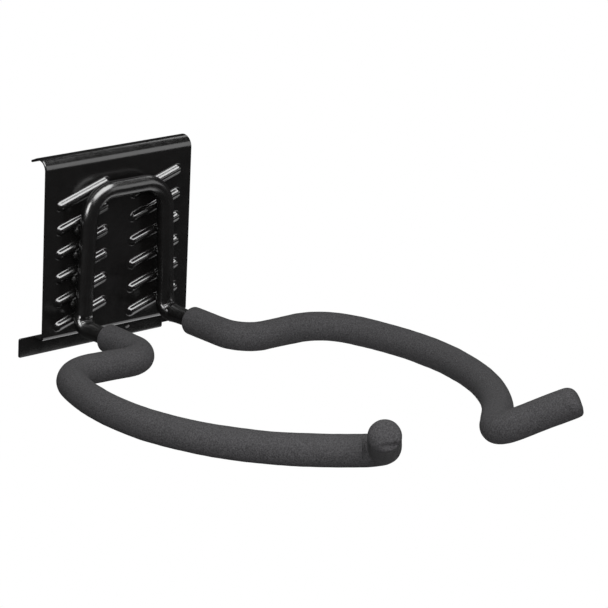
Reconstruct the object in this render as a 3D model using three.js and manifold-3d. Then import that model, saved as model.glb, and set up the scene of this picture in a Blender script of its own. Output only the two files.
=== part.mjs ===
// Bicycle wall rack: a pressed steel back plate that hangs on slatwall, a bent rod
// frame welded to it, two foam sleeves on the arms and a sliding lock bar.
// Millimetres, +Z up, +X to the right seen from the front, arms towards -Y.
// Origin: middle of the plate's flat back face, which lies on the wall. The pieces
// are drawn from the middle of the plate's lower front edge, and moved at the end.
import * as THREE from "three";
import { mergeVertices } from "three/addons/utils/BufferGeometryUtils.js";
import Module from "manifold-3d";

const wasm = await Module();
wasm.setup();

// ---- back plate
const PLATE_W = 158;
const SHEET = 2; // steel thickness
const HOOK_R = 9; // centreline radius of the roll over the slat
const HOOK_TOP = 157.5;
const HOOK_DROOP = 23; // degrees the lip falls behind the roll
const HOOK_LIP = 7.3; // straight part of the lip
const LEDGE_BEND_R = 3;
const LEDGE_DEPTH = 13; // where the full width of the ledge ends
const FLANGE_Y = 15.6; // front face of the turned-down flange
const FLANGE_BEND_R = 1.6;
const FLANGE_LOW = -12;
const ORIGIN_Z = HOOK_TOP / 2;

// ---- pressed ribs
const RIB_ROWS = 6;
const RIB_LOWEST = 18.75; // middle of the lowest rib
const RIB_PITCH = 20.95;
const RIB_X = 39.5; // middle of each column
const RIB_TILT = 17; // degrees
const RIB_LENGTH = 60;
const RIB_HALF_W = 4.2;
const RIB_HEIGHT = 4.3;
const GROOVE_HALF_W = 2.6;
const GROOVE_END = 1.9; // how much shorter the groove is at each end

// ---- rod frame: corner points and bend radii. The two arms are bent to slightly
// different shapes: the left elbow lies nearer the wall and the left tip stands higher.
const CLEAR = 0.3; // gap left between neighbouring pieces
const ROD_R = 7;
const ROD_Y = -(RIB_HEIGHT + CLEAR + ROD_R);
const LOOP_TOP = { at: [40.4, ROD_Y, 126.8], r: 24, steps: 7 };
const LEG_FOOT = { at: [45.2, ROD_Y, 10.5], r: 10, steps: 7 };
const ARM_LEFT = [
  { at: [-48.6, -107.4, 9.6], r: 26, steps: 5 }, // inner turn
  { at: [-139.8, -103.2, 11.9], r: 42, steps: 6 }, // outer turn
  { at: [-199.5, -276, 9.5], r: 210, steps: 8 }, // bow
  { at: [-55.3, -391.2, 13.7], r: 17, steps: 6 }, // elbow
];
const ARM_RIGHT = [
  { at: [46.7, -110.4, 8.5], r: 26, steps: 5 },
  { at: [134.1, -112.4, 8.8], r: 42, steps: 6 },
  { at: [195.4, -277.8, 6.7], r: 210, steps: 8 },
  { at: [52.7, -401.8, 9.6], r: 17, steps: 6 },
];
const TIP_LEFT = [-101.9, -436.8, 49.1];
const TIP_RIGHT = [95.5, -447, 39.8];
const ROD_SIDES = 12;

// ---- foam sleeves
const FOAM_START_Y = -46;
const FOAM_R = 12.5;
const FOAM_SIDES = 14;
const BORE_R = 8; // to the corners of its eight sides
const BORE_SIDES = 8;
const FOAM_CAP = 10; // solid foam beyond the end of the bore
const ROD_SHORT = 1.5; // rod end to the bottom of the bore

// ---- lock bar
const BAR_LEFT = -93;
const BAR_RIGHT = 63.5;
const BAR_LOW = -15;
const BAR_T = 2;
const BAR_Y = 13.3; // front face
const BAR_TRAVEL = 15;
const BAR_CHAMFER = 1.6;
const THUMB_END = -65; // right side of the taller left end
const RIVET_X = [-16, 24];
const RIVET_Z = -6;
const RIVET_SHANK_R = 2;
const RIVET_HEAD_R = 3.1;
const RIVET_HEAD_DEPTH = 1.2;
const RIVET_TAIL_R = 4;
const RIVET_TAIL = 2.1;
const SINK_R = 3.95; // countersink's cutter at its wide end
const BEYOND = 0.5; // overshoot of a cutter past the sheet

// ---- weld beads
const BEAD_R = 2.9;
const BEAD_HALF_L = 3.6;
const BEAD_ASIDE = 6.1; // from the leg's centreline
const BEAD_Y = -3.2;
const BEAD_BELOW = 6.8; // from the rib's centreline
const BEAD_ROWS = [1, 2, 3, 4]; // counted from the second rib from the top down
const RIB_SIDES = 12;
const GROOVE_SIDES = 8;
const TURNED_SIDES = 14;

const blackCoat = () => coat(0x15161a, 0.38, 0.3);
const foam = () => coat(0x3c3c40, 0.95, 0);

function coat(color, roughness, metalness) {
  return new THREE.MeshStandardMaterial({ color, roughness, metalness });
}

function solid(geometry) {
  const g = geometry.clone();
  g.deleteAttribute("normal");
  g.deleteAttribute("uv");
  const merged = mergeVertices(g, 1e-4);
  return new wasm.Manifold(
    new wasm.Mesh({
      numProp: 3,
      vertProperties: merged.attributes.position.array,
      triVerts: new Uint32Array(merged.index.array),
    }),
  );
}

function named(name, body, material) {
  const m = body.getMesh();
  const geometry = new THREE.BufferGeometry();
  geometry.setAttribute("position", new THREE.BufferAttribute(m.vertProperties, 3));
  geometry.setIndex(new THREE.BufferAttribute(m.triVerts, 1));
  geometry.computeVertexNormals();
  const mesh = new THREE.Mesh(geometry, material);
  mesh.name = name;
  return mesh;
}

// A run of straights joined by round bends. Parameter t counts stations, so each
// bend gets its own number of steps and a straight gets one.
class Run extends THREE.Curve {
  constructor(start, corners, end) {
    super();
    this.spans = [];
    let from = new THREE.Vector3(...start);
    corners.forEach((corner, i) => {
      const at = new THREE.Vector3(...corner.at);
      const next = new THREE.Vector3(...(corners[i + 1]?.at ?? end));
      const into = at.clone().sub(from).normalize();
      const out = next.clone().sub(at).normalize();
      const turn = into.angleTo(out);
      const reach = corner.r * Math.tan(turn / 2);
      const a = at.clone().addScaledVector(into, -reach);
      const side = out.clone().addScaledVector(into, -into.dot(out)).normalize();
      this.spans.push({ from, to: a, steps: 1 });
      this.spans.push({ a, into, side, turn, r: corner.r, steps: corner.steps });
      from = at.clone().addScaledVector(out, reach);
    });
    this.spans.push({ from, to: new THREE.Vector3(...end), steps: 1 });
    this.steps = this.spans.reduce((n, s) => n + s.steps, 0);
  }

  locate(t) {
    let station = t * this.steps;
    for (const span of this.spans) {
      if (station <= span.steps + 1e-9) return [span, station / span.steps];
      station -= span.steps;
    }
    return [this.spans.at(-1), 1];
  }

  getPoint(t) {
    const [s, k] = this.locate(t);
    if (s.to) return s.from.clone().lerp(s.to, k);
    const angle = s.turn * k;
    return s.a
      .clone()
      .addScaledVector(s.into, s.r * Math.sin(angle))
      .addScaledVector(s.side, s.r * (1 - Math.cos(angle)));
  }

  getTangent(t) {
    const [s, k] = this.locate(t);
    if (s.to) return s.to.clone().sub(s.from).normalize();
    const angle = s.turn * k;
    return s.into
      .clone()
      .multiplyScalar(Math.cos(angle))
      .addScaledVector(s.side, Math.sin(angle))
      .normalize();
  }

  getUtoTmapping(u) {
    return u;
  }
}

function roundBar(run, radius, sides) {
  const section = new THREE.Shape().absarc(0, 0, radius, 0, 2 * Math.PI);
  return solid(
    new THREE.ExtrudeGeometry(section, {
      steps: run.steps,
      curveSegments: sides / 2, // a full circle gets two points for each
      extrudePath: run,
    }),
  );
}

function box(x0, x1, y0, y1, z0, z1) {
  const g = new THREE.BoxGeometry(x1 - x0, y1 - y0, z1 - z0);
  g.translate((x0 + x1) / 2, (y0 + y1) / 2, (z0 + z1) / 2);
  return solid(g);
}

// Turned about an axis along Y. Profile: [radius, y] from the front to the back.
function turned(profile, x, z) {
  const g = new THREE.LatheGeometry(
    profile.map(([r, y]) => new THREE.Vector2(r, y)),
    TURNED_SIDES,
  );
  g.translate(x, 0, z);
  return solid(g);
}

// ---- back plate
function sheetSection() {
  const droop = THREE.MathUtils.degToRad(HOOK_DROOP);
  const face = SHEET / 2;
  const reach = HOOK_R * Math.tan((Math.PI / 2 + droop) / 2);
  const hookCorner = HOOK_TOP - SHEET / 2 - HOOK_R + reach;
  const lip = reach + HOOK_LIP;
  const flange = FLANGE_Y + SHEET / 2;
  const start = [0, face + lip * Math.cos(droop), hookCorner - lip * Math.sin(droop)];
  const corners = [
    { at: [0, face, hookCorner], r: HOOK_R, steps: 14 },
    { at: [0, face, SHEET / 2], r: LEDGE_BEND_R, steps: 7 },
    { at: [0, flange, SHEET / 2], r: FLANGE_BEND_R, steps: 4 },
  ];
  const run = new Run(start, corners, [0, flange, FLANGE_LOW]);
  const left = [];
  const right = [];
  for (let i = 0; i <= run.steps; i += 1) {
    const p = run.getPoint(i / run.steps);
    const along = run.getTangent(i / run.steps);
    left.push(new THREE.Vector2(p.y - (along.z * SHEET) / 2, p.z + (along.y * SHEET) / 2));
    right.push(new THREE.Vector2(p.y + (along.z * SHEET) / 2, p.z - (along.y * SHEET) / 2));
  }
  return new THREE.Shape([...left, ...right.reverse()]);
}

function pressedSheet() {
  const g = new THREE.ExtrudeGeometry(sheetSection(), { depth: PLATE_W, bevelEnabled: false });
  g.translate(0, 0, -PLATE_W / 2);
  const alongX = new THREE.Matrix4().makeBasis(
    new THREE.Vector3(0, 1, 0),
    new THREE.Vector3(0, 0, 1),
    new THREE.Vector3(1, 0, 0),
  );
  g.applyMatrix4(alongX);
  return solid(g);
}

// Height of a rib's middle, its row counted from the bottom.
function rowHeight(row) {
  return RIB_LOWEST + (row - 1) * RIB_PITCH;
}

function ribCentres() {
  const centres = [];
  for (const x of [-RIB_X, RIB_X])
    for (let row = 1; row <= RIB_ROWS; row += 1) centres.push([x, rowHeight(row)]);
  return centres;
}

function ribBody(x, y, z, length, halfWidth, height, sides) {
  const g = new THREE.CapsuleGeometry(halfWidth, length - 2 * halfWidth, 3, sides);
  g.rotateZ(-Math.PI / 2);
  g.scale(1, height / halfWidth, 1);
  g.rotateY(-THREE.MathUtils.degToRad(RIB_TILT));
  g.translate(x, y, z);
  return solid(g);
}

function backPlate() {
  let plate = pressedSheet();
  const half = PLATE_W / 2;
  const keepBehindFace = box(-half, half, -2 * RIB_HEIGHT, SHEET / 2, 0, HOOK_TOP);
  for (const [x, z] of ribCentres()) {
    const rib = ribBody(x, 0, z, RIB_LENGTH, RIB_HALF_W, RIB_HEIGHT, RIB_SIDES);
    plate = plate.add(rib.intersect(keepBehindFace));
  }
  for (const [x, z] of ribCentres()) {
    const length = RIB_LENGTH - 2 * GROOVE_END;
    plate = plate.subtract(ribBody(x, SHEET, z, length, GROOVE_HALF_W, RIB_HEIGHT, GROOVE_SIDES));
  }
  const restOfLedge = THUMB_END + BAR_TRAVEL + 2 * CLEAR;
  const flangeBack = FLANGE_Y + SHEET + BEYOND;
  const flangeLow = FLANGE_LOW - BEYOND;
  const sheetTop = SHEET + BEYOND;
  const thumbWay = box(-half - 1, restOfLedge, LEDGE_DEPTH, flangeBack, flangeLow, sheetTop);
  plate = plate.subtract(thumbWay);
  for (const x of RIVET_X) {
    const reach = RIVET_SHANK_R + CLEAR;
    const right = x + BAR_TRAVEL + reach;
    const front = FLANGE_Y - BEYOND;
    plate = plate.subtract(box(x - reach, right, front, flangeBack, RIVET_Z - reach, RIVET_Z + reach));
  }
  return plate;
}

// ---- rod frame
const mirrored = (c) => ({ ...c, at: [-c.at[0], c.at[1], c.at[2]] });

// A point on an arm's last straight, short of its tip.
function shortOfTip(arm, tip, length) {
  const elbow = new THREE.Vector3(...arm.at(-1).at);
  const end = new THREE.Vector3(...tip);
  return end.addScaledVector(end.clone().sub(elbow).normalize(), -length).toArray();
}

function rodFrame() {
  const left = [mirrored(LOOP_TOP), mirrored(LEG_FOOT), ...ARM_LEFT].reverse();
  const right = [LOOP_TOP, LEG_FOOT, ...ARM_RIGHT];
  const start = shortOfTip(ARM_LEFT, TIP_LEFT, FOAM_CAP + ROD_SHORT);
  const end = shortOfTip(ARM_RIGHT, TIP_RIGHT, FOAM_CAP + ROD_SHORT);
  return roundBar(new Run(start, [...left, ...right], end), ROD_R, ROD_SIDES);
}

// ---- foam sleeve
function foamSleeve(foot, arm, tip) {
  const from = new THREE.Vector3(...foot.at);
  const towards = new THREE.Vector3(...arm[0].at);
  const on = (y) => from.clone().lerp(towards, (y - from.y) / (towards.y - from.y)).toArray();
  const outside = new Run(on(FOAM_START_Y), arm, tip);
  const inside = new Run(on(FOAM_START_Y + 1), arm, shortOfTip(arm, tip, FOAM_CAP));
  return roundBar(outside, FOAM_R, FOAM_SIDES).subtract(roundBar(inside, BORE_R, BORE_SIDES));
}

// ---- lock bar
function lockBar() {
  const top = -CLEAR;
  const outline = new THREE.Shape();
  outline.moveTo(BAR_LEFT + BAR_CHAMFER, BAR_LOW);
  outline.lineTo(BAR_RIGHT - BAR_CHAMFER, BAR_LOW);
  outline.lineTo(BAR_RIGHT - 0.6, BAR_LOW + BAR_CHAMFER);
  outline.lineTo(BAR_RIGHT, top);
  outline.lineTo(THUMB_END, top);
  outline.lineTo(THUMB_END, SHEET - CLEAR);
  outline.lineTo(BAR_LEFT + 0.6, SHEET - CLEAR);
  outline.lineTo(BAR_LEFT, SHEET - 0.9);
  outline.lineTo(BAR_LEFT, BAR_LOW + BAR_CHAMFER);
  outline.closePath();
  const g = new THREE.ExtrudeGeometry(outline, { depth: BAR_T, bevelEnabled: false });
  g.rotateX(Math.PI / 2);
  g.translate(0, BAR_Y + BAR_T, 0);
  let bar = solid(g);
  const shank = RIVET_SHANK_R + CLEAR;
  const hole = [
    [0, BAR_Y - BEYOND],
    [SINK_R, BAR_Y - BEYOND],
    [shank, BAR_Y + RIVET_HEAD_DEPTH + 0.1],
    [shank, BAR_Y + BAR_T + BEYOND],
    [0, BAR_Y + BAR_T + BEYOND],
  ];
  for (const x of RIVET_X) bar = bar.subtract(turned(hole, x, RIVET_Z));
  return bar;
}

function rivet(x) {
  const back = FLANGE_Y + SHEET + CLEAR;
  const profile = [
    [0, BAR_Y],
    [RIVET_HEAD_R, BAR_Y],
    [RIVET_SHANK_R, BAR_Y + RIVET_HEAD_DEPTH],
    [RIVET_SHANK_R, back],
    [RIVET_TAIL_R, back],
    [0.92 * RIVET_TAIL_R, back + 0.5 * RIVET_TAIL],
    [0.6 * RIVET_TAIL_R, back + 0.9 * RIVET_TAIL],
    [0, back + RIVET_TAIL],
  ];
  return turned(profile, x, RIVET_Z);
}

// ---- weld beads, one under each rib on the outer side of each leg
function legX(z) {
  const [topX, , topZ] = LOOP_TOP.at;
  const [footX, , footZ] = LEG_FOOT.at;
  return THREE.MathUtils.mapLinear(z, topZ, footZ, topX, footX);
}

function weldBead(side, row) {
  const rowZ = rowHeight(RIB_ROWS - row);
  const x = side * (legX(rowZ) + BEAD_ASIDE);
  const slope = Math.tan(THREE.MathUtils.degToRad(RIB_TILT));
  const z = rowZ + (x - side * RIB_X) * slope - BEAD_BELOW;
  const g = new THREE.SphereGeometry(BEAD_R, 10, 6);
  g.scale(1, 1, BEAD_HALF_L / BEAD_R);
  g.translate(x, BEAD_Y, z);
  const halfWidth = RIB_HALF_W + CLEAR;
  const length = RIB_LENGTH + 2 * CLEAR;
  const rib = ribBody(side * RIB_X, 0, rowZ, length, halfWidth, RIB_HEIGHT + CLEAR, RIB_SIDES);
  return solid(g).subtract(rib);
}

const rack = new THREE.Group();
rack.position.set(0, -SHEET, -ORIGIN_Z);
rack.add(named("back_plate", backPlate(), blackCoat()));
rack.add(named("rod_frame", rodFrame(), blackCoat()));
rack.add(named("lock_bar", lockBar(), blackCoat()));
RIVET_X.forEach((x, i) => rack.add(named(`lock_rivet_${i + 1}`, rivet(x), blackCoat())));
const sleeveLeft = foamSleeve(mirrored(LEG_FOOT), ARM_LEFT, TIP_LEFT);
const sleeveRight = foamSleeve(LEG_FOOT, ARM_RIGHT, TIP_RIGHT);
rack.add(named("foam_sleeve_left", sleeveLeft, foam()));
rack.add(named("foam_sleeve_right", sleeveRight, foam()));
for (const row of BEAD_ROWS) {
  rack.add(named(`weld_left_${row}`, weldBead(-1, row), blackCoat()));
  rack.add(named(`weld_right_${row}`, weldBead(1, row), blackCoat()));
}
export default rack;
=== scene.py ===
"""Bicycle wall rack: fine meshes, materials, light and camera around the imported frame."""

import math

import bmesh
import bpy
import numpy as np
from mathutils import Matrix, Vector, noise

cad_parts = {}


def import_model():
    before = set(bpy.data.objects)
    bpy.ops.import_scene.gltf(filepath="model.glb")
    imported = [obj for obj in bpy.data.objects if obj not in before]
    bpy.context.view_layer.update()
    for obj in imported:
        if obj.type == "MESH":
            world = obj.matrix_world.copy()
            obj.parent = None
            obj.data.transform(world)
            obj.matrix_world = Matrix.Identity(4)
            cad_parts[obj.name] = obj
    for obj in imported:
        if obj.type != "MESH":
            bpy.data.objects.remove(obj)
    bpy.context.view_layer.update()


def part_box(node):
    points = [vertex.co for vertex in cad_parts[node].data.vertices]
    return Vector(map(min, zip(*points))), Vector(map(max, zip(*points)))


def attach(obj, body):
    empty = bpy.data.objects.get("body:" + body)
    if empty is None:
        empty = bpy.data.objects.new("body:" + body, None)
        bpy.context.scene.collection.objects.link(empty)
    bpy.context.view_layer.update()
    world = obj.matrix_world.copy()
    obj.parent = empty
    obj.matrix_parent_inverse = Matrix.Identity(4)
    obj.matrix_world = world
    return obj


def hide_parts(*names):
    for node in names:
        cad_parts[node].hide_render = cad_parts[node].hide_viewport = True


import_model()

MM = 0.001
TURN = 2 * math.pi
LEFT = -1
RIGHT = 1
LEAST_ARC_STEPS = 48
# Computed sizes that differ by less than this are the same.
ROUNDING = 1e-6

# ---- the frame's own measures, in millimetres
plate_lo, plate_hi = (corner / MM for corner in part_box("back_plate"))
bar_lo, bar_hi = (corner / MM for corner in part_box("lock_bar"))

# ---- back plate
SHEET = 2.0
HALF_W = plate_hi.x
HOOK_R = 9.0
HOOK_TOP = 157.5
HOOK_DROOP = math.radians(23)
HOOK_LIP = 7.3
LEDGE_BEND_R = 3.0
LEDGE_DEPTH = 13.0
FLANGE_Y = 15.6
FLANGE_BEND_R = 1.6
FLANGE_LOW = -12.0
EDGE_ROUND = 0.55
PLATE_STEP = 0.4
PLATE_COLUMNS = 145

# ---- pressed ribs
RIB_ROWS = 6
RIB_LOWEST = 18.75
RIB_PITCH = 20.95
RIB_X = 39.5
RIB_TILT = math.radians(17)
RIB_LENGTH = 60.0
RIB_HEIGHT = 4.3
CROWN_R = 3.4
ROOT_R = 1.9
# The groove behind a rib: narrower, a little shallower and shorter.
GROOVE_CROWN_R = 1.6
GROOVE_ROOT_R = 1.9
GROOVE_SHALLOWER = 0.4
GROOVE_SHORTER = 4

# Where the drawing's zero, the middle of the plate's lower front edge, lies in the frame.
DATUM = np.array([0.0, plate_lo.y + RIB_HEIGHT, plate_hi.z - HOOK_TOP])

# ---- rod frame: corner points and bend radii, from the foot of each leg to the tip
ROD_R = 7.25
ROD_SIDES = 48
ROD_STEP = 2.5
ROD_Y = -11.6
LOOP_TOP = ((40.4, ROD_Y, 126.8), 24)
LEG_FOOT = ((45.2, ROD_Y, 10.5), 10)
ARM_LEFT = [
    ((-48.6, -107.4, 9.6), 26),
    ((-139.8, -103.2, 11.9), 42),
    ((-199.5, -276, 9.5), 210),
    ((-55.3, -391.2, 13.7), 17),
]
ARM_RIGHT = [
    ((46.7, -110.4, 8.5), 26),
    ((134.1, -112.4, 8.8), 42),
    ((195.4, -277.8, 6.7), 210),
    ((52.7, -401.8, 9.6), 17),
]
TIP_LEFT = (-101.9, -436.8, 49.1)
TIP_RIGHT = (95.5, -447, 39.8)

# ---- foot bends: the tube goes oval there, and its inside is hollow with a raised crease.
# Reaches are distances along the rod from the middle of the bend.
FOOT_REACH = 30.0
HOLLOW_DEPTH = 1.3
HOLLOW_REACH = 6.0
CREASE_HEIGHT = 1.1
CREASE_REACH = 0.8
BULGE_HEIGHT = 1.7
BULGE_REACH = 11.0
# The outside of the bend swells by one part in this many of the sideways bulge.
OUTSIDE_PARTS = 3

# ---- foam sleeves
FOAM_START_Y = -46.0
FOAM_R_START = 12.2
FOAM_R_TIP = 12.9
FOAM_MOUTH_ROUND = 2.4
FOAM_MOUTH_STEPS = 8
FOAM_MOUTH_GAP = 0.8
FOAM_STEP = 1.6
FOAM_SIDES = 96
BORE_R = 7.45
BORE_STRIDE = 6
FOAM_CAP = 10.0
ROD_SHORT_OF_CAP = 1.5

# ---- the foam's skin: soft lumps all over, and swelling with folds inside each bend
LUMP_HEIGHT = 0.30
LUMP_SIZE = 26.0
DIMPLE_HEIGHT = 0.12
DIMPLE_SIZE = 7.0
SWELL = 1.1
FOLD_DEPTH = 0.9
FOLD_PITCH = 6.5
FOLD_SWAY = 1.7
FOLD_SWAYS = 3.0

# ---- foam tips: a dome over the last TIP_RUN of the path, TIP_REACH high. Its outline is a
# superellipse of power TIP_ROUND that grows to TIP_TIGHT on the tight side.
TIP_RUN = 9.5
TIP_REACH = 12.0
TIP_ROUND = 2.7
TIP_TIGHT = 7.0
TIP_STEPS = 32
# Both sides are directions on the left arm, and are mirrored for the right one.
TIP_TIGHT_SIDE = (0.39, -0.86, -0.75)
TIP_CREASE_SIDE = (0.755, -0.628, 0.187)
# How deep the skin below TIP_CREASE_BELOW is tucked under, on each arm. The tuck begins
# within about TIP_CREASE_SHARP.
TIP_CREASE = {LEFT: 7.0, RIGHT: 0.6}
TIP_CREASE_BELOW = 7.5
TIP_CREASE_SHARP = 0.5
# The share of that depth at the tip's middle, and how much it grows out to the crease's side.
TIP_CREASE_MIDDLE = 0.55
TIP_CREASE_GROWTH = 0.6

# ---- lock bar
BAR_Y = 13.3
BAR_T = 2.0
BAR_TRAVEL = 15.0
BAR_CORNER_R = 1.7
BAR_EDGE_ROUND = 0.45
CLEAR = 0.3
THUMB_END = -65.0

# ---- rivets: a countersunk head in the bar's face, a shank through the flange's slot and a
# domed tail behind it
RIVET_X = (-16.0, 24.0)
RIVET_Z = -6.0
RIVET_R = 2.0
RIVET_SIDES = 40
SLOT_REACH = 2.3
HOLE_R = 2.15
SINK_R = 3.25
SINK_DEPTH = 1.25
CUT_BEYOND = 1
CUT_WIDEST = 4.15
HEAD_IN = 0.02
HEAD_FACE_R = 3.0
HEAD_R = 3.12
HEAD_CHAMFER = 0.1
TAIL_R = 4.0
TAIL_BASE_R = 3.8
TAIL_CHAMFER = 0.15
TAIL_RIM = 0.5
TAIL_DOME = 1.6
TAIL_STEPS = 8

# ---- weld beads
BEAD_R = 2.9
BEAD_HALF_L = 3.6
BEAD_ASIDE = 6.1
BEAD_Y = -3.2
BEAD_BELOW = 6.8
BEAD_ROWS = (1, 2, 3, 4)
BEAD_STEPS = 28
BEAD_RIPPLE = 0.035
BEAD_RIPPLES = 15
BEAD_LUMP = 0.08
BEAD_LUMPS = 2.2
BEAD_SHIFT = 3.1

# ---- stage: how bright the floor and the world are, by who looks
SEEN = 1.0
MIRRORED = 0.045
LIGHTING = 0.42
FLOOR_HALF = 40.0
FLOOR_LEVEL = -0.55

# ---- lights, in metres and watts: name, place, the point it faces, width, height, power
GLOSS_LIGHTS = [
    ("overhead", (-0.15, -0.63, 1.35), (-0.15, -0.63, 0.0), 1.7, 1.32, 66),
    ("left_strip", (-1.4, -0.05, 0.68), (0.0, 0.0, 0.05), 0.7, 0.8, 22),
    ("front_right", (1.24, -1.25, 0.62), (0.0, 0.0, 0.05), 1.0, 1.0, 5.4),
    ("back_right", (1.3, 0.5, 1.25), (0.0, 0.0, 0.05), 0.5, 0.35, 1.5),
    ("table_glow", (0.55, -0.1, -0.5), (0.55, -0.1, 0.0), 0.7, 1.0, 2.8),
]
FILL_LIGHTS = [
    ("top_fill", (-0.2, -0.6, 1.3), (0.0, -0.2, 0.0), 1.4, 1.4, 15),
    ("front_fill", (-1.05, -1.6, 0.6), (0.0, -0.2, 0.0), 1.2, 1.2, 42),
]

# ---- camera: where it stands around the drawing's zero, in metres, and its lens in mm
CAMERA_AZIMUTH = math.radians(-43.108)
CAMERA_ELEVATION = math.radians(16.976)
CAMERA_ROLL = math.radians(2.678)
CAMERA_DISTANCE = 2.7128
CAMERA_ASIDE = 0.1615
CAMERA_ABOVE = 0.0193
CAMERA_SENSOR = 36.0
CAMERA_LENS = 187.4
CAMERA_FAR = 100


def in_frame(points):
    """Drawing millimetres to frame metres."""
    return (np.asarray(points, float) + DATUM) * MM


def shade_smooth(mesh):
    mesh.polygons.foreach_set("use_smooth", [True] * len(mesh.polygons))


def new_object(name, vertices, faces, smooth=True):
    mesh = bpy.data.meshes.new(name)
    mesh.from_pydata([tuple(v) for v in vertices], [], [tuple(f) for f in faces])
    mesh.validate()
    mesh.update()
    if smooth:
        shade_smooth(mesh)
    obj = bpy.data.objects.new(name, mesh)
    bpy.context.scene.collection.objects.link(obj)
    return obj


def face_out(obj):
    edit = bmesh.new()
    edit.from_mesh(obj.data)
    bmesh.ops.recalc_face_normals(edit, faces=edit.faces)
    edit.to_mesh(obj.data)
    edit.free()


def apply_modifiers(obj):
    bpy.context.view_layer.update()
    made = obj.evaluated_get(bpy.context.evaluated_depsgraph_get())
    mesh = bpy.data.meshes.new_from_object(made)
    obj.modifiers.clear()
    obj.data = mesh


def hang(obj, body, node, material):
    """Gives a finished piece its material, sets it under its body's empty and hides the CAD node
    that it stands in for.
    """
    obj.data.materials.clear()
    obj.data.materials.append(material)
    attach(obj, body)
    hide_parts(node)
    return obj


# ---------------------------------------------------------------- materials
class Nodes:
    """A small helper for writing a node material from left to right."""

    def __init__(self, name):
        self.material = bpy.data.materials.new(name)
        self.material.use_nodes = True
        self.tree = self.material.node_tree
        self.shader = self.tree.nodes["Principled BSDF"]
        self.place = self.tree.nodes.new("ShaderNodeTexCoord").outputs["Object"]

    def add(self, kind, inputs=None, **settings):
        node = self.tree.nodes.new(kind)
        for key, value in settings.items():
            setattr(node, key, value)
        for key, value in (inputs or {}).items():
            if isinstance(value, bpy.types.NodeSocket):
                self.tree.links.new(value, node.inputs[key])
            else:
                node.inputs[key].default_value = value
        return node

    def noise(self, scale, detail=2.0, roughness=0.5):
        wanted = {"Vector": self.place, "Scale": scale, "Detail": detail, "Roughness": roughness}
        return self.add("ShaderNodeTexNoise", wanted).outputs["Fac"]

    def ramp(self, value, low, high, to_low, to_high):
        wanted = {"Value": value, "From Min": low, "From Max": high}
        wanted |= {"To Min": to_low, "To Max": to_high}
        return self.add("ShaderNodeMapRange", wanted).outputs["Result"]

    def blend(self, value, first, second):
        node = self.add("ShaderNodeMix", data_type="RGBA")
        self.tree.links.new(value, node.inputs["Factor"])
        for socket, colour in ((node.inputs[6], first), (node.inputs[7], second)):
            if isinstance(colour, bpy.types.NodeSocket):
                self.tree.links.new(colour, socket)
            else:
                socket.default_value = (*colour, 1.0)
        return node.outputs[2]

    def bump(self, height, distance, strength, under=None):
        wanted = {"Height": height, "Distance": distance, "Strength": strength}
        node = self.add("ShaderNodeBump", wanted)
        if under is not None:
            self.tree.links.new(under, node.inputs["Normal"])
        return node.outputs["Normal"]

    def wire(self, **sockets):
        for name, value in sockets.items():
            target = self.shader.inputs[name.replace("_", " ")]
            if isinstance(value, bpy.types.NodeSocket):
                self.tree.links.new(value, target)
            else:
                target.default_value = value
        return self.material


def powder_coat(name, roughness, peel_depth, ior):
    """Black satin powder coat: fine orange peel, faint cloudiness, a few dust specks."""
    n = Nodes(name)
    cloud = n.noise(scale=38, detail=3.0)
    peel = n.noise(scale=620, detail=1.5, roughness=0.45)
    grit = n.noise(scale=2600, detail=1.0)
    dust_cells = n.add("ShaderNodeTexVoronoi", {"Vector": n.place, "Scale": 95.0})
    dust = n.ramp(dust_cells.outputs["Distance"], 0.03, 0.045, 1.0, 0.0)
    rare = n.ramp(n.noise(scale=60, detail=0.0), 0.60, 0.64, 0.0, 0.5)
    speck = n.add("ShaderNodeMath", {0: dust, 1: rare}, operation="MULTIPLY").outputs[0]
    black = (0.0022, 0.0021, 0.0021)
    cloudy_black = (0.0046, 0.0043, 0.0042)
    dust_grey = (0.06, 0.06, 0.065)
    base = n.blend(cloud, black, cloudy_black)
    colour = n.blend(speck, base, dust_grey)
    wear = n.noise(scale=150, detail=3.0)
    rough = n.ramp(wear, 0.3, 0.7, roughness - 0.03, roughness + 0.03)
    skin = n.bump(peel, distance=peel_depth, strength=0.5)
    skin = n.bump(grit, distance=0.000004, strength=0.5, under=skin)
    return n.wire(Base_Color=colour, Roughness=rough, Normal=skin, IOR=ior)


def closed_foam():
    """Dark grey closed-cell foam tube: mottled, matt, with open fine cells at its skin."""
    n = Nodes("foam_tube")
    mottle = n.noise(scale=900, detail=3.0, roughness=0.7)
    patch = n.noise(scale=55, detail=3.0, roughness=0.6)
    cells = n.add("ShaderNodeTexVoronoi", {"Vector": n.place, "Scale": 1500.0})
    pore = n.ramp(cells.outputs["Distance"], 0.0, 0.55, 0.0, 1.0)
    pit_grey = (0.0095, 0.0092, 0.0097)
    skin_grey = (0.051, 0.0496, 0.0523)
    patch_grey = (0.031, 0.0301, 0.0316)
    tone = n.blend(n.ramp(mottle, 0.33, 0.67, 0.0, 1.0), pit_grey, skin_grey)
    colour = n.blend(n.ramp(patch, 0.35, 0.7, 0.0, 0.3), tone, patch_grey)
    rough = n.ramp(mottle, 0.3, 0.7, 0.86, 0.98)
    skin = n.bump(mottle, distance=0.0005, strength=0.45)
    skin = n.bump(pore, distance=0.00012, strength=0.5, under=skin)
    return n.wire(Base_Color=colour, Roughness=rough, Normal=skin, Specular_IOR_Level=0.2)


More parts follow.
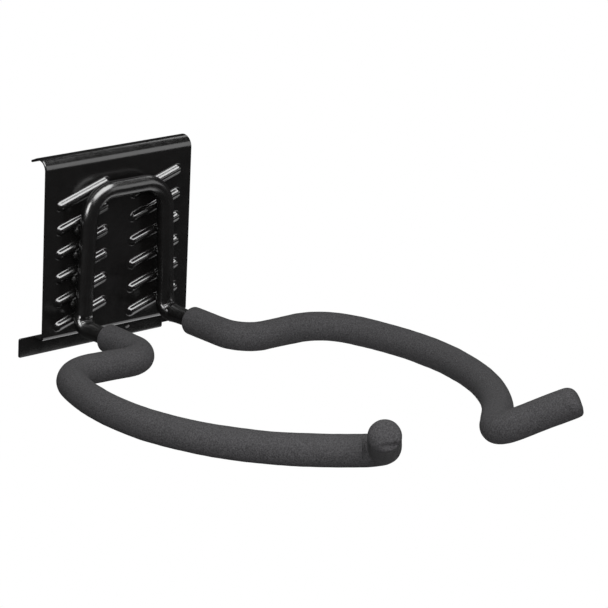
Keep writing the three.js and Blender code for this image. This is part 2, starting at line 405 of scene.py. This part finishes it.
# ---------------------------------------------------------------- paths
class Path:
    """Straights joined by round bends, sampled finely. Keeps each point's direction, its
    distance along, the side that it bends to and how sharply, 0 on a straight."""

    def __init__(self, start, corners, end, step):
        self.points = []
        self.tangents = []
        self.sides = []
        self.bends = []
        start = np.array(start, float)
        end = np.array(end, float)
        ats = [np.array(at, float) for at, _ in corners]
        for i, (at, (_, radius)) in enumerate(zip(ats, corners)):
            target = ats[i + 1] if i + 1 < len(ats) else end
            into = (at - start) / np.linalg.norm(at - start)
            out = (target - at) / np.linalg.norm(target - at)
            turn = math.acos(float(np.clip(into @ out, -1, 1)))
            reach = radius * math.tan(turn / 2)
            side = out - into * (into @ out)
            side /= np.linalg.norm(side)
            self.straight(start, at - into * reach, into, side, step)
            self.arc(at - into * reach, into, side, turn, radius, step)
            start = at + out * reach
        last = (end - start) / np.linalg.norm(end - start)
        self.straight(start, end, last, side, step)
        self.store(end, last, side, 0.0)
        self.points = np.array(self.points)
        self.tangents = np.array(self.tangents)
        self.sides = np.array(self.sides)
        self.bends = np.array(self.bends)
        hops = np.linalg.norm(np.diff(self.points, axis=0), axis=1)
        self.along = np.concatenate([[0.0], np.cumsum(hops)])

    def store(self, point, tangent, side, bend):
        self.points.append(point)
        self.tangents.append(tangent)
        self.sides.append(side)
        self.bends.append(bend)

    def straight(self, a, b, tangent, side, step):
        count = max(1, math.ceil(np.linalg.norm(b - a) / step))
        for i in range(count):
            self.store(a + (b - a) * i / count, tangent, side, 0.0)

    def arc(self, a, into, side, turn, radius, step):
        count = max(LEAST_ARC_STEPS, math.ceil(turn * radius / step))
        for i in range(count):
            t = turn * i / count
            point = a + into * radius * math.sin(t) + side * radius * (1 - math.cos(t))
            tangent = into * math.cos(t) + side * math.sin(t)
            inward = side * math.cos(t) - into * math.sin(t)
            self.store(point, tangent, inward, 1.0 / radius)

    def middle_of(self, corner):
        """Distance along to the point nearest to a corner."""
        away = np.linalg.norm(self.points - np.array(corner, float), axis=1)
        return self.along[int(np.argmin(away))]

    def frames(self, first_normal):
        """Two directions across the path at each point, carried along without twist."""
        normal = np.array(first_normal, float)
        normals = []
        for tangent in self.tangents:
            normal = normal - tangent * (normal @ tangent)
            normal = normal / np.linalg.norm(normal)
            normals.append(normal)
        normals = np.array(normals)
        return normals, np.cross(self.tangents, normals)


def mirrored(corner):
    (x, y, z), radius = corner
    return ((-x, y, z), radius)


def short_of_tip(arm, tip, length):
    """The point this far back from the tip, on the arm's last straight."""
    away = np.array(tip, float) - np.array(arm[-1][0], float)
    return np.array(tip, float) - away / np.linalg.norm(away) * length


def ring_faces(rings, sides):
    faces = []
    for i in range(rings - 1):
        for j in range(sides):
            k = (j + 1) % sides
            faces.append((i * sides + j, i * sides + k, (i + 1) * sides + k, (i + 1) * sides + j))
    return faces


def tube(name, rings):
    """A closed tube through rings of points, its two ends closed to their middles."""
    rings = np.array(rings)
    count, sides, _ = rings.shape
    vertices = list(rings.reshape(-1, 3))
    faces = ring_faces(count, sides)
    for ring, flip in ((0, True), (count - 1, False)):
        middle = len(vertices)
        vertices.append(rings[ring].mean(0))
        for j in range(sides):
            a = ring * sides + j
            b = ring * sides + (j + 1) % sides
            faces.append((b, a, middle) if flip else (a, b, middle))
    obj = new_object(name, in_frame(vertices), faces)
    face_out(obj)
    return obj


# ---------------------------------------------------------------- rod frame
def pinch(s):
    """The inside of a sharp bend: flattened by the bending tool, with one raised crease."""
    hollow = HOLLOW_DEPTH * math.exp(-((s / HOLLOW_REACH) ** 2))
    crease = CREASE_HEIGHT * math.exp(-((s / CREASE_REACH) ** 2))
    return crease - hollow


def bulge(s):
    """How far a sharp bend spreads sideways, since the tube goes oval there."""
    return BULGE_HEIGHT * math.exp(-((s / BULGE_REACH) ** 2))


def rod_radius(inward, from_foot):
    """The rod's radius on the side that faces inward, 1, or outward, -1, of its bend."""
    if abs(from_foot) >= FOOT_REACH:
        return ROD_R
    reach = ROD_R
    reach += max(0.0, inward) ** 4 * pinch(from_foot)
    wide = (1 - inward**2) * bulge(from_foot)
    outside = max(0.0, -inward) * bulge(from_foot) / OUTSIDE_PARTS
    return reach + (wide + outside)


def rod_frame(material):
    left = [mirrored(LOOP_TOP), mirrored(LEG_FOOT), *ARM_LEFT][::-1]
    right = [LOOP_TOP, LEG_FOOT, *ARM_RIGHT]
    start = short_of_tip(ARM_LEFT, TIP_LEFT, FOAM_CAP + ROD_SHORT_OF_CAP)
    end = short_of_tip(ARM_RIGHT, TIP_RIGHT, FOAM_CAP + ROD_SHORT_OF_CAP)
    path = Path(start, left + right, end, ROD_STEP)
    aside, up = path.frames((0, 0, 1))
    angles = np.linspace(0, TURN, ROD_SIDES, endpoint=False)
    feet = [path.middle_of(corner) for corner in (mirrored(LEG_FOOT)[0], LEG_FOOT[0])]
    rings = []
    for i, p in enumerate(path.points):
        from_foot = min((path.along[i] - foot for foot in feet), key=abs)
        ring = []
        for t in angles:
            out = aside[i] * math.cos(t) + up[i] * math.sin(t)
            ring.append(p + out * rod_radius(float(out @ path.sides[i]), from_foot))
        rings.append(ring)
    return hang(tube("rod_frame_fine", rings), "rack", "rod_frame", material)


# ---------------------------------------------------------------- foam sleeves
def square_to_tip(direction, side, end_dir):
    """A direction given for the left arm, mirrored for the right one, square to the tip."""
    turned_over = np.array([-side * direction[0], direction[1], direction[2]])
    flat = turned_over - end_dir * (turned_over @ end_dir)
    return flat / np.linalg.norm(flat)


def closed_tip(path, side, surface, angles):
    """The end of the foam: a dome, fuller and tighter at its lower edge, where the skin is
    tucked under along a crease."""
    end_dir = path.tangents[-1]
    base = path.points[-1] - end_dir * TIP_RUN
    tight = square_to_tip(TIP_TIGHT_SIDE, side, end_dir)
    crease = square_to_tip(TIP_CREASE_SIDE, side, end_dir)
    down = np.cross(end_dir, crease) * side

    def tucked(point, share):
        outward = (point - base) @ crease
        below = (point - base) @ down
        under = 1 / (1 + math.exp(-(below - TIP_CREASE_BELOW) / TIP_CREASE_SHARP))
        grown = np.clip(TIP_CREASE_MIDDLE + TIP_CREASE_GROWTH * outward / FOAM_R_TIP, 0, 1)
        return point - end_dir * share * (TIP_CREASE[side] * grown) * under

    rings = []
    for k in range(TIP_STEPS):
        t = math.pi / 2 * k / TIP_STEPS
        ring = []
        for angle in angles:
            out, radius = surface(angle)
            fullness = TIP_ROUND + (TIP_TIGHT - TIP_ROUND) * max(0.0, out @ tight) ** 3
            reach = radius * math.cos(t) ** (2 / fullness)
            lift = TIP_REACH * math.sin(t) ** (2 / fullness)
            ring.append(tucked(base + out * reach + end_dir * lift, k / TIP_STEPS))
        rings.append(ring)
    return rings


def foam_surface(path, normals, others):
    """Makes the function that gives, for a station and an angle, the direction outwards and
    the skin's distance from the rod's centreline."""
    grown = FOAM_R_START + (FOAM_R_TIP - FOAM_R_START) * path.along / path.along[-1]

    def surface(i, t):
        out = normals[i] * math.cos(t) + others[i] * math.sin(t)
        radius = grown[i]
        spot = path.points[i] + out * radius
        lumps = LUMP_HEIGHT * noise.noise(Vector(spot / LUMP_SIZE))
        dimples = DIMPLE_HEIGHT * noise.noise(Vector(spot / DIMPLE_SIZE))
        radius += lumps + dimples
        inside = max(0.0, float(out @ path.sides[i]))
        bend = path.bends[i] * radius
        radius += SWELL * bend * inside**3
        sway = FOLD_SWAY * math.sin(t * FOLD_SWAYS)
        wave = math.sin(path.along[i] * TURN / FOLD_PITCH + sway)
        radius += FOLD_DEPTH * bend * inside**4 * wave
        return out, radius

    return surface


def mouth_rings(path, surface, angles):
    """From the bore, over a rounded rim, on to the outside."""
    start = path.points[0]
    along = path.tangents[0]
    rings = []
    for k in range(FOAM_MOUTH_STEPS + 1):
        t = math.pi / 2 * k / FOAM_MOUTH_STEPS
        ring = []
        for angle in angles:
            out, radius = surface(0, angle)
            reach = radius - FOAM_MOUTH_ROUND * (1 - math.sin(t))
            ring.append(start + out * reach + along * FOAM_MOUTH_ROUND * (1 - math.cos(t)))
        rings.append(ring)
    return rings


def bore_rings(path, normals, others, angles):
    """From the bore's bottom back to the mouth."""
    deep = int(np.searchsorted(path.along, path.along[-1] - FOAM_CAP))
    rings = []
    for i in [*range(deep, 0, -BORE_STRIDE), 0]:
        ring = []
        for angle in angles:
            out = normals[i] * math.cos(angle) + others[i] * math.sin(angle)
            ring.append(path.points[i] + out * BORE_R)
        rings.append(ring)
    return rings


def sleeve_rings(side, foot, arm, tip):
    """One skin: up the bore, over the mouth, along the outside and over the tip."""
    foot = np.array(foot[0], float)
    inner = np.array(arm[0][0], float)
    share = (FOAM_START_Y - foot[1]) / (inner[1] - foot[1])
    path = Path(foot + (inner - foot) * share, arm, tip, FOAM_STEP)
    normals, others = path.frames((0, 0, 1))
    others = others * side
    angles = np.linspace(0, TURN, FOAM_SIDES, endpoint=False)
    surface = foam_surface(path, normals, others)
    first = int(np.searchsorted(path.along, FOAM_MOUTH_ROUND + FOAM_MOUTH_GAP))
    last = int(np.searchsorted(path.along, path.along[-1] - TIP_RUN))
    rings = bore_rings(path, normals, others, angles)
    rings += mouth_rings(path, surface, angles)
    for i in range(first, last):
        ring = []
        for angle in angles:
            out, radius = surface(i, angle)
            ring.append(path.points[i] + out * radius)
        rings.append(ring)
    return rings + closed_tip(path, side, lambda angle: surface(last, angle), angles)


def foam_sleeve(name, rings, material):
    obj = tube(f"{name}_fine", rings)
    hang(obj, "rack", name, material)
    return obj


# ---------------------------------------------------------------- back plate
def rib_height(x, z, crown_r, root_r, top, length):
    """Height of the pressed ribs above the sheet: a round crown on a hollow root."""
    reach = math.sqrt((crown_r + root_r) ** 2 - (top - crown_r - root_r) ** 2)
    joint = reach * crown_r / (crown_r + root_r)
    height = np.zeros_like(x)
    half = length / 2 - reach
    along = np.array([math.cos(RIB_TILT), math.sin(RIB_TILT)])
    for side in (LEFT, RIGHT):
        for row in range(1, RIB_ROWS + 1):
            dx = x - side * RIB_X
            dz = z - RIB_LOWEST - (row - 1) * RIB_PITCH
            s = np.clip(dx * along[0] + dz * along[1], -half, half)
            d = np.hypot(dx - s * along[0], dz - s * along[1])
            crown = top - crown_r + np.sqrt(np.maximum(crown_r**2 - d**2, 0))
            root = root_r - np.sqrt(np.maximum(root_r**2 - (reach - d) ** 2, 0))
            here = np.where(d < joint, crown, np.where(d < reach, root, 0.0))
            height = np.maximum(height, here)
    return height


def sheet_path():
    """The sheet's middle line from the hook's lip, over the roll, down to the flange's end."""
    face = SHEET / 2
    reach = HOOK_R * math.tan((math.pi / 2 + HOOK_DROOP) / 2)
    corner = HOOK_TOP - SHEET / 2 - HOOK_R + reach
    lip = reach + HOOK_LIP
    flange = FLANGE_Y + SHEET / 2
    start = (0, face + lip * math.cos(HOOK_DROOP), corner - lip * math.sin(HOOK_DROOP))
    corners = [
        ((0, face, corner), HOOK_R),
        ((0, face, SHEET / 2), LEDGE_BEND_R),
        ((0, flange, SHEET / 2), FLANGE_BEND_R),
    ]
    return Path(start, corners, (0, flange, FLANGE_LOW), PLATE_STEP)


def sheet_surfaces(path, x):
    """The sheet's front and back, a row for each station and a column for each x."""
    rows = len(path.points)
    count = len(x)
    front = np.zeros((rows, count, 3))
    back = np.zeros((rows, count, 3))
    for i, (p, t) in enumerate(zip(path.points, path.tangents)):
        out = np.array([0.0, t[2], -t[1]])
        front[i] = p + out * SHEET / 2
        back[i] = p - out * SHEET / 2
        front[i, :, 0] = x
        back[i, :, 0] = x
    face = (np.abs(path.tangents[:, 2] + 1) < ROUNDING) & (path.points[:, 1] < SHEET)
    z = path.points[face][:, 2][:, None] + np.zeros((1, count))
    wide = x[None, :] + np.zeros_like(z)
    front[face, :, 1] -= rib_height(wide, z, CROWN_R, ROOT_R, RIB_HEIGHT, RIB_LENGTH)
    groove_top = RIB_HEIGHT - GROOVE_SHALLOWER
    groove_length = RIB_LENGTH - GROOVE_SHORTER
    grooves = rib_height(wide, z, GROOVE_CROWN_R, GROOVE_ROOT_R, groove_top, groove_length)
    back[face, :, 1] -= grooves
    return front, back


def kept_cells(path, x, flange_start, slots):
    """Which cells of the sheet stay: not those left of the flange, nor those in a slot."""
    ledge = np.hypot(path.points[:, 1] - LEDGE_DEPTH, path.points[:, 2] - SHEET / 2)
    ledge_end = int(np.argmin(ledge))
    kept = np.ones((len(path.points) - 1, len(x) - 1), bool)
    kept[ledge_end:, x[:-1] < flange_start - ROUNDING] = False
    in_flange = path.points[:-1, 1] > FLANGE_Y
    level = in_flange & (np.abs(path.points[:-1, 2] - RIVET_Z) < SLOT_REACH)
    for low, high in slots:
        in_slot = (x[:-1] > low - ROUNDING) & (x[:-1] < high - ROUNDING)
        kept[np.ix_(level, in_slot)] = False
    return kept


def sheet_faces(kept):
    """The kept cells' faces in front and behind, and walls between them along each rim."""
    rows = kept.shape[0] + 1
    count = kept.shape[1] + 1
    far = rows * count
    faces = []
    rims = set()

    def wall(a, b):
        faces.append((a, b, b + far, a + far))
        rims.add((a, b))
        rims.add((a + far, b + far))

    for i in range(rows - 1):
        for j in range(count - 1):
            if not kept[i, j]:
                continue
            a = i * count + j
            b = a + 1
            c = b + count
            d = a + count
            faces.append((a, b, c, d))
            faces.append((d + far, c + far, b + far, a + far))
            if i == 0 or not kept[i - 1, j]:
                wall(a, b)
            if i == rows - 2 or not kept[i + 1, j]:
                wall(d, c)
            if j == 0 or not kept[i, j - 1]:
                wall(a, d)
            if j == count - 2 or not kept[i, j + 1]:
                wall(b, c)
    return faces, rims


def back_plate(material):
    path = sheet_path()
    flange_start = THUMB_END + BAR_TRAVEL + 2 * CLEAR
    slots = [(x - SLOT_REACH, x + BAR_TRAVEL + SLOT_REACH) for x in RIVET_X]
    slot_ends = [x for slot in slots for x in slot]
    even = np.linspace(-HALF_W, HALF_W, PLATE_COLUMNS)
    x = np.array(sorted({*even, flange_start, *slot_ends}))
    front, back = sheet_surfaces(path, x)
    vertices = np.concatenate([front.reshape(-1, 3), back.reshape(-1, 3)])
    faces, rims = sheet_faces(kept_cells(path, x, flange_start, slots))
    obj = new_object("back_plate_fine", in_frame(vertices), faces)
    bevel_rims(obj, rims, EDGE_ROUND)
    return hang(obj, "rack", "back_plate", material)


def bevel_rims(obj, rims, width):
    """Rounds the listed edges, drops loose vertices and turns the faces outwards."""
    edit = bmesh.new()
    edit.from_mesh(obj.data)
    edit.verts.ensure_lookup_table()
    weights = edit.edges.layers.float.get("bevel_weight_edge")
    if weights is None:
        weights = edit.edges.layers.float.new("bevel_weight_edge")
    for a, b in rims:
        edge = edit.edges.get((edit.verts[a], edit.verts[b]))
        if edge is not None:
            edge[weights] = 1.0
    loose = [v for v in edit.verts if not v.link_faces]
    bmesh.ops.delete(edit, geom=loose, context="VERTS")
    bmesh.ops.recalc_face_normals(edit, faces=edit.faces)
    edit.to_mesh(obj.data)
    edit.free()
    bevel = obj.modifiers.new("rim", "BEVEL")
    bevel.limit_method = "WEIGHT"
    bevel.width = width * MM
    bevel.segments = 3
    bevel.use_clamp_overlap = False
    apply_modifiers(obj)
    shade_smooth(obj.data)


# ---------------------------------------------------------------- lock bar
def rounded(outline, radius, steps=5):
    """The outline with each corner rounded, as points."""
    out = []
    points = [np.array(p, float) for p in outline]
    for i, p in enumerate(points):
        a = points[i - 1]
        b = points[(i + 1) % len(points)]
        r = min(radius, np.linalg.norm(a - p) * 0.45, np.linalg.norm(b - p) * 0.45)
        first = p + (a - p) / np.linalg.norm(a - p) * r
        last = p + (b - p) / np.linalg.norm(b - p) * r
        for k in range(steps + 1):
            t = k / steps
            out.append(first * (1 - t) ** 2 + p * 2 * t * (1 - t) + last * t**2)
    return out


def countersink(obj, x):
    """Cuts a rivet's countersunk hole through the bar."""
    hole = [
        (0, -CUT_BEYOND),
        (CUT_WIDEST, -CUT_BEYOND),
        (SINK_R, 0),
        (HOLE_R, SINK_DEPTH),
        (HOLE_R, BAR_T + CUT_BEYOND),
        (0, BAR_T + CUT_BEYOND),
    ]
    cutter = turned("hole_cutter", [(r, BAR_Y + y) for r, y in hole], x, RIVET_SIDES)
    cut = obj.modifiers.new("hole", "BOOLEAN")
    cut.operation = "DIFFERENCE"
    cut.object = cutter
    apply_modifiers(obj)
    bpy.data.objects.remove(cutter)


def lock_bar(material):
    low = bar_lo.z - DATUM[2]
    left = bar_lo.x
    right = bar_hi.x
    top = -CLEAR
    thumb_top = bar_hi.z - DATUM[2]
    outline = [(left, low), (right, low), (right, top)]
    outline += [(THUMB_END, top), (THUMB_END, thumb_top), (left, thumb_top)]
    outline = rounded(outline, BAR_CORNER_R)
    count = len(outline)
    vertices = [(x, y, z) for y in (BAR_Y, BAR_Y + BAR_T) for x, z in outline]
    faces = [tuple(range(count)), tuple(range(2 * count - 1, count - 1, -1))]
    rims = []
    for i in range(count):
        k = (i + 1) % count
        faces.append((k, i, i + count, k + count))
        rims += [(i, k), (i + count, k + count)]
    obj = new_object("lock_bar_fine", in_frame(vertices), faces)
    bevel_rims(obj, rims, BAR_EDGE_ROUND)
    for x in RIVET_X:
        countersink(obj, x)
    shade_by_angle(obj)
    return hang(obj, "lock_slide", "lock_bar", material)


def shade_by_angle(obj, degrees=35):
    """Smooth faces, with a sharp edge wherever they meet at more than this angle."""
    shade_smooth(obj.data)
    edit = bmesh.new()
    edit.from_mesh(obj.data)
    for edge in edit.edges:
        if len(edge.link_faces) == 2 and edge.calc_face_angle() > math.radians(degrees):
            edge.smooth = False
    edit.to_mesh(obj.data)
    edit.free()


def turned(name, profile, x, sides):
    """A solid turned about an axis along Y through (x, RIVET_Z). Profile: radius and y."""
    vertices = []
    rows = []
    for r, y in profile:
        if r == 0:
            rows.append([len(vertices)] * sides)
            vertices.append((x, y, RIVET_Z))
            continue
        rows.append(list(range(len(vertices), len(vertices) + sides)))
        for j in range(sides):
            t = TURN * j / sides
            vertices.append((x + r * math.cos(t), y, RIVET_Z + r * math.sin(t)))
    faces = []
    for above, below in zip(rows, rows[1:]):
        for j in range(sides):
            k = (j + 1) % sides
            corner = [above[j], above[k], below[k], below[j]]
            faces.append(tuple(dict.fromkeys(corner)))
    obj = new_object(name, in_frame(vertices), faces)
    face_out(obj)
    return obj


def rivet(i, x, material):
    front = BAR_Y + HEAD_IN
    back = FLANGE_Y + SHEET + CLEAR
    rim = back + TAIL_RIM
    profile = [(0, front), (HEAD_FACE_R, front), (HEAD_R, BAR_Y + HEAD_CHAMFER)]
    profile += [(RIVET_R, BAR_Y + SINK_DEPTH), (RIVET_R, back)]
    profile += [(TAIL_BASE_R, back), (TAIL_R, back + TAIL_CHAMFER), (TAIL_R, rim)]
    for k in range(1, TAIL_STEPS):
        t = math.pi / 2 * k / TAIL_STEPS
        profile.append((TAIL_R * math.cos(t), rim + TAIL_DOME * math.sin(t)))
    profile.append((0, rim + TAIL_DOME))
    obj = turned(f"lock_rivet_{i}_fine", profile, x, RIVET_SIDES)
    shade_by_angle(obj)
    return hang(obj, "lock_slide", f"lock_rivet_{i}", material)


# ---------------------------------------------------------------- weld beads
def leg_x(z):
    """Where the right leg's centreline is at this height."""
    top_x, _, top_z = LOOP_TOP[0]
    foot_x, _, foot_z = LEG_FOOT[0]
    return foot_x + (top_x - foot_x) * (z - foot_z) / (top_z - foot_z)


def weld_bead(name, side, row, material):
    row_z = RIB_LOWEST + (RIB_ROWS - row - 1) * RIB_PITCH
    x = side * (leg_x(row_z) + BEAD_ASIDE)
    z = row_z + (x - side * RIB_X) * math.tan(RIB_TILT) - BEAD_BELOW
    middle = np.array([x, BEAD_Y, z])
    rings = []
    for k in range(1, BEAD_STEPS):
        t = math.pi * k / BEAD_STEPS
        ring = []
        for j in range(BEAD_STEPS):
            a = TURN * j / BEAD_STEPS
            out = np.array([math.cos(a) * math.sin(t), math.sin(a) * math.sin(t), math.cos(t)])
            ripple = BEAD_RIPPLE * math.sin(out[2] * BEAD_RIPPLES)
            lump = BEAD_LUMP * noise.noise(Vector(out * BEAD_LUMPS + row * BEAD_SHIFT * side))
            reach = 1 + ripple + lump
            ring.append(middle + out * [BEAD_R, BEAD_R, BEAD_HALF_L] * reach)
        rings.append(ring)
    return hang(tube(f"{name}_fine", rings), "rack", name, material)


# ---------------------------------------------------------------- stage, light, camera
def pale(tree, kind, target):
    """White where the camera looks at it, dim where the black coat mirrors it, and in
    between for the light that it sends on to the foam."""
    path = tree.nodes.new("ShaderNodeLightPath")
    shades = []
    for strength in (MIRRORED, LIGHTING, SEEN):
        shade = tree.nodes.new(kind)
        shade.inputs["Color"].default_value = (1, 1, 1, 1)
        shade.inputs["Strength"].default_value = strength
        shades.append(shade.outputs[0])
    mixed = shades[0]
    for ray, shade in (("Is Diffuse Ray", shades[1]), ("Is Camera Ray", shades[2])):
        mix = tree.nodes.new("ShaderNodeMixShader")
        tree.links.new(path.outputs[ray], mix.inputs[0])
        tree.links.new(mixed, mix.inputs[1])
        tree.links.new(shade, mix.inputs[2])
        mixed = mix.outputs[0]
    tree.links.new(mixed, target)


def floor():
    outline = [(-1, -1), (1, -1), (1, 1), (-1, 1)]
    corners = [(x * FLOOR_HALF, y * FLOOR_HALF, FLOOR_LEVEL) for x, y in outline]
    obj = new_object("floor", corners, [(0, 1, 2, 3)], smooth=False)
    material = bpy.data.materials.new("pale_floor")
    material.use_nodes = True
    tree = material.node_tree
    tree.nodes.remove(tree.nodes["Principled BSDF"])
    pale(tree, "ShaderNodeEmission", tree.nodes["Material Output"].inputs["Surface"])
    obj.data.materials.append(material)


def world():
    studio = bpy.data.worlds.new("studio")
    studio.use_nodes = True
    tree = studio.node_tree
    tree.nodes.remove(tree.nodes["Background"])
    pale(tree, "ShaderNodeBackground", tree.nodes["World Output"].inputs["Surface"])
    bpy.context.scene.world = studio


def softbox(name, place, aim, width, height, power, glossy):
    """A soft light that the black coat mirrors, or one that only fills the matt foam."""
    light = bpy.data.lights.new(name, "AREA")
    light.shape = "RECTANGLE"
    light.size = width
    light.size_y = height
    light.energy = power
    obj = bpy.data.objects.new(name, light)
    bpy.context.scene.collection.objects.link(obj)
    obj.location = place
    obj.rotation_mode = "QUATERNION"
    obj.rotation_quaternion = (Vector(aim) - Vector(place)).to_track_quat("-Z", "Y")
    obj.visible_camera = False
    obj.visible_glossy = glossy
    obj.visible_diffuse = not glossy


def camera():
    back = Vector((
        math.sin(CAMERA_AZIMUTH) * math.cos(CAMERA_ELEVATION),
        -math.cos(CAMERA_AZIMUTH) * math.cos(CAMERA_ELEVATION),
        math.sin(CAMERA_ELEVATION),
    ))
    level = Vector((math.cos(CAMERA_AZIMUTH), math.sin(CAMERA_AZIMUTH), 0))
    upright = back.cross(level)
    right = level * math.cos(CAMERA_ROLL) + upright * math.sin(CAMERA_ROLL)
    up = upright * math.cos(CAMERA_ROLL) - level * math.sin(CAMERA_ROLL)
    data = bpy.data.cameras.new("camera")
    data.sensor_width = CAMERA_SENSOR
    data.lens = CAMERA_LENS
    data.clip_end = CAMERA_FAR
    obj = bpy.data.objects.new("camera", data)
    bpy.context.scene.collection.objects.link(obj)
    zero = Vector(in_frame((0, 0, 0)))
    place = zero + back * CAMERA_DISTANCE + right * CAMERA_ASIDE + up * CAMERA_ABOVE
    turn = Matrix((right, up, back)).transposed().to_4x4()
    obj.matrix_world = Matrix.Translation(place) @ turn
    bpy.context.scene.camera = obj


camera()
floor()
world()
for settings in GLOSS_LIGHTS:
    softbox(*settings, True)
for settings in FILL_LIGHTS:
    softbox(*settings, False)
bpy.context.scene.view_settings.view_transform = "Standard"

coat = powder_coat("black_sheet_coat", roughness=0.19, peel_depth=0.00003, ior=1.7)
rod_coat = powder_coat("black_rod_coat", roughness=0.24, peel_depth=0.00005, ior=1.7)
bead_coat = powder_coat("black_weld_coat", roughness=0.40, peel_depth=0.00008, ior=1.3)
foam = closed_foam()
back_plate(coat)
rod_frame(rod_coat)
lock_bar(coat)
for number, rivet_x in enumerate(RIVET_X, 1):
    rivet(number, rivet_x, coat)
foam_sleeve("foam_sleeve_left", sleeve_rings(LEFT, mirrored(LEG_FOOT), ARM_LEFT, TIP_LEFT), foam)
foam_sleeve("foam_sleeve_right", sleeve_rings(RIGHT, LEG_FOOT, ARM_RIGHT, TIP_RIGHT), foam)
for bead_row in BEAD_ROWS:
    weld_bead(f"weld_left_{bead_row}", LEFT, bead_row, bead_coat)
    weld_bead(f"weld_right_{bead_row}", RIGHT, bead_row, bead_coat)
